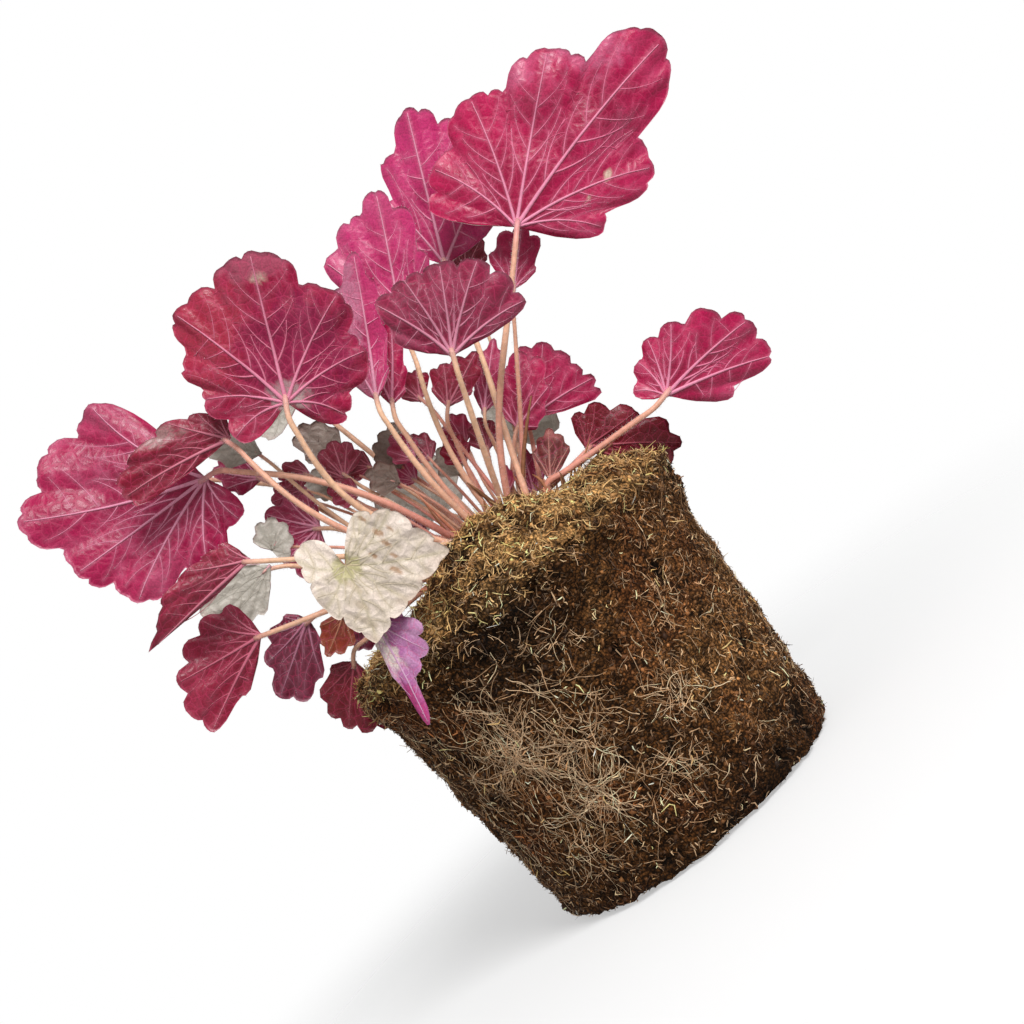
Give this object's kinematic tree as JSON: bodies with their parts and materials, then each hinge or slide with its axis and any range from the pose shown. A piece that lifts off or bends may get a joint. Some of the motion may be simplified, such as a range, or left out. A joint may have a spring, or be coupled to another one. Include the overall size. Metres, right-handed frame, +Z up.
{
  "type": "heuchera plant",
  "caption": "Leafy perennial lifted from its pot: lobed magenta and silver leaves on slender stalks over a root ball of peat.",
  "frame": {"origin": "middle of the flat base of the root ball", "axes": "+Z up the plant, +X to the right across the face that the picture shows, +Y away from that viewer"},
  "size_m": [0.2871, 0.1464, 0.2651],
  "materials": {
    "peat": "rough fibrous peat bound with pale roots and moss",
    "woody_crown": "dull scaly bark",
    "magenta_leaf": "glossy quilted underside with raised pale veins",
    "crimson_leaf": "glossy quilted underside with raised pale veins",
    "burgundy_leaf": "glossy quilted underside with raised pale veins",
    "silver_leaf": "satin silver upper side with grey veins",
    "dried_leaf": "dull, dry and wrinkled",
    "violet_leaf": "glossy quilted underside with raised pale veins",
    "orange_leaf": "glossy quilted underside with raised pale veins",
    "grey_leaf": "glossy quilted underside with raised pale veins",
    "young_leaf": "glossy quilted underside with raised pale veins"
  },
  "bodies": {
    "root": {"root_ball": "peat", "crown": "woody_crown", "leaf_top_right": "magenta_leaf", "leaf_top_right_low": "magenta_leaf", "leaf_top_middle": "magenta_leaf", "leaf_top_small": "crimson_leaf", "leaf_upper_fold": "magenta_leaf", "leaf_upper_narrow": "magenta_leaf", "leaf_upper_behind": "magenta_leaf", "leaf_front_fan": "burgundy_leaf", "leaf_left_big": "magenta_leaf", "leaf_strap": "crimson_leaf", "leaf_far_left": "magenta_leaf", "leaf_left_edge_on": "crimson_leaf", "leaf_silver_low": "silver_leaf", "leaf_silver_crumpled": "silver_leaf", "leaf_low_left": "magenta_leaf", "leaf_low_violet": "burgundy_leaf", "leaf_low_red": "crimson_leaf", "leaf_low_orange": "orange_leaf", "leaf_low_dark": "burgundy_leaf", "leaf_dried": "dried_leaf", "leaf_dried_small": "violet_leaf", "leaf_right": "magenta_leaf", "leaf_right_behind": "crimson_leaf", "leaf_inner_right": "magenta_leaf", "leaf_inner_right_back": "magenta_leaf", "leaf_inner_red": "crimson_leaf", "leaf_inner_small": "crimson_leaf", "leaf_inner_narrow": "magenta_leaf", "leaf_inner_cup": "burgundy_leaf", "leaf_left_inner": "magenta_leaf", "leaf_grey_inner": "grey_leaf", "leaf_red_inner": "crimson_leaf", "leaf_pink_inner": "magenta_leaf", "leaf_silver_inner": "silver_leaf", "leaf_grey_middle": "grey_leaf", "leaf_young_right": "magenta_leaf", "leaf_bud": "young_leaf", "leaf_low_inner": "burgundy_leaf", "leaf_back_middle": "silver_leaf", "leaf_back_left": "silver_leaf", "leaf_back_right": "silver_leaf", "leaf_back_low": "silver_leaf"}
  },
  "joints": []
}
